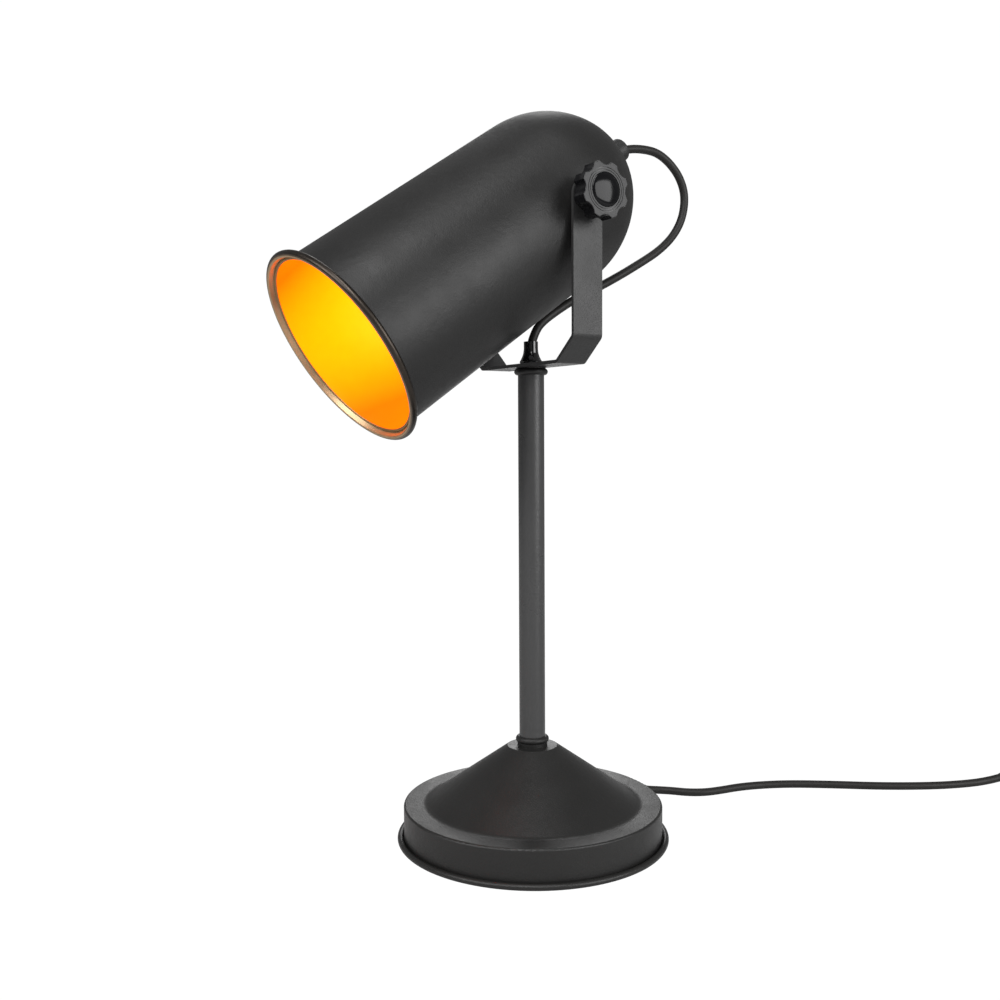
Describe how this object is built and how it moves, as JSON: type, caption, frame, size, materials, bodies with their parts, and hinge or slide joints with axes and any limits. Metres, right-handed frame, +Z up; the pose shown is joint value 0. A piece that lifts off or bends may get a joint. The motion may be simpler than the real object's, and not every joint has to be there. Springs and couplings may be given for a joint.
{
  "type": "table lamp",
  "caption": "Table lamp with a weighted round base, upright stem, strap yoke and bell-shaped tin shade that tilts between hand knobs, with a cord, switch and plug.",
  "frame": {"origin": "on the floor under the stem's axis, at the middle of the base's underside", "axes": "+Z up along the stem; the shade points to -Y; the tilt axis lies along X"},
  "size_m": [0.3349, 0.5932, 0.4436],
  "materials": {
    "black_coat": "black powder coat with a fine texture, satin",
    "black_gloss": "glossy black plastic",
    "black_plastic": "matt black plastic",
    "shade_tin": "black outside, gold lacquer inside, bronze bead",
    "steel": "zinc plated steel",
    "iron": "cast iron",
    "brass": "plain brass",
    "nylon": "natural nylon",
    "pad": "black rubber sheet",
    "cord": "black round cord, satin",
    "ceramic": "glazed white insulator",
    "bulb_glass": "frosted glass"
  },
  "bodies": {
    "stand": {"base_shell": "black_coat", "base_pad": "pad", "base_plate": "steel", "base_weight": "iron", "base_standoffs": "steel", "base_plate_screws": "steel", "base_cord_bush": "black_plastic", "lower_collar": "black_coat", "upper_collar": "black_coat", "stem_tube": "black_coat", "stem_plug": "steel", "tie_tube": "steel", "tie_tube_washer": "steel", "tie_tube_nut": "steel", "cord_in_stand": "cord", "mains_cord": "cord", "switch_lead": "cord", "cord_coil": "cord", "plug_lead": "cord", "coil_tie": "black_plastic", "switch_base": "black_gloss", "switch_cover": "black_gloss", "switch_screws": "steel", "switch_contacts": "brass", "plug_body": "black_plastic", "plug_pins": "steel"},
    "rocker": {"switch_rocker": "black_gloss"},
    "yoke": {"yoke_bracket": "black_coat", "swivel_friction_washer": "nylon", "swivel_spring_washer": "steel", "swivel_nut": "steel", "swivel_nipple": "steel", "stem_cord_grip": "black_gloss", "grip_screw": "steel", "grip_cord": "cord"},
    "head": {"shade_shell": "shade_tin", "pivot_bosses": "black_coat", "pivot_washers": "nylon", "rear_gland_body": "black_plastic", "rear_gland_nut": "black_plastic", "holder_nipple": "steel", "holder_washer": "steel", "holder_locknut": "steel", "holder_cap": "black_plastic", "holder_body": "black_plastic", "holder_insert": "ceramic", "holder_screw_shell": "brass", "holder_contact": "brass", "bulb_cap": "steel", "bulb_glass": "bulb_glass", "head_cord_tail": "cord", "head_loop_cord": "cord"},
    "right_clamp": {"right_clamp_washer": "steel"},
    "right_knob_body": {"right_knob": "black_gloss", "right_knob_cap": "black_gloss", "right_clamp_stud": "steel"},
    "left_clamp": {"left_clamp_washer": "steel"},
    "left_knob_body": {"left_knob": "black_gloss", "left_knob_cap": "black_gloss", "left_clamp_stud": "steel"}
  },
  "joints": [
    {"name": "yoke_swivel", "type": "hinge", "parent": "stand", "child": "yoke", "pos_m": [0, 0, 0.29], "axis": [0, 0, 1], "range_deg": [-170, 170]},
    {"name": "head_tilt", "type": "hinge", "parent": "yoke", "child": "head", "pos_m": [0, 0, 0.3832], "axis": [1, 0, 0], "range_deg": [-64, 6], "deforming": ["head_loop_cord"]},
    {"name": "switch_rocker_tip", "type": "hinge", "parent": "stand", "child": "rocker", "pos_m": [0.12925, 0.38251, 0.013], "axis": [-0.8322, 0.5544, 0], "range_deg": [-16, 0]},
    {"name": "right_clamp_slide", "type": "slide", "parent": "yoke", "child": "right_clamp", "axis": [1, 0, 0], "range_m": [0, 0.0015]},
    {"name": "right_knob_turn", "type": "hinge", "parent": "right_clamp", "child": "right_knob_body", "pos_m": [0, 0, 0.3832], "axis": [1, 0, 0], "range_deg": [0, 540]},
    {"name": "left_clamp_slide", "type": "slide", "parent": "yoke", "child": "left_clamp", "axis": [-1, 0, 0], "range_m": [0, 0.0015]},
    {"name": "left_knob_turn", "type": "hinge", "parent": "left_clamp", "child": "left_knob_body", "pos_m": [0, 0, 0.3832], "axis": [-1, 0, 0], "range_deg": [0, 540]}
  ],
  "couplings": [
    {"joint": "right_knob_turn", "follows": "right_clamp_slide", "rad_per_m": 6283.2},
    {"joint": "left_knob_turn", "follows": "left_clamp_slide", "rad_per_m": 6283.2}
  ]
}
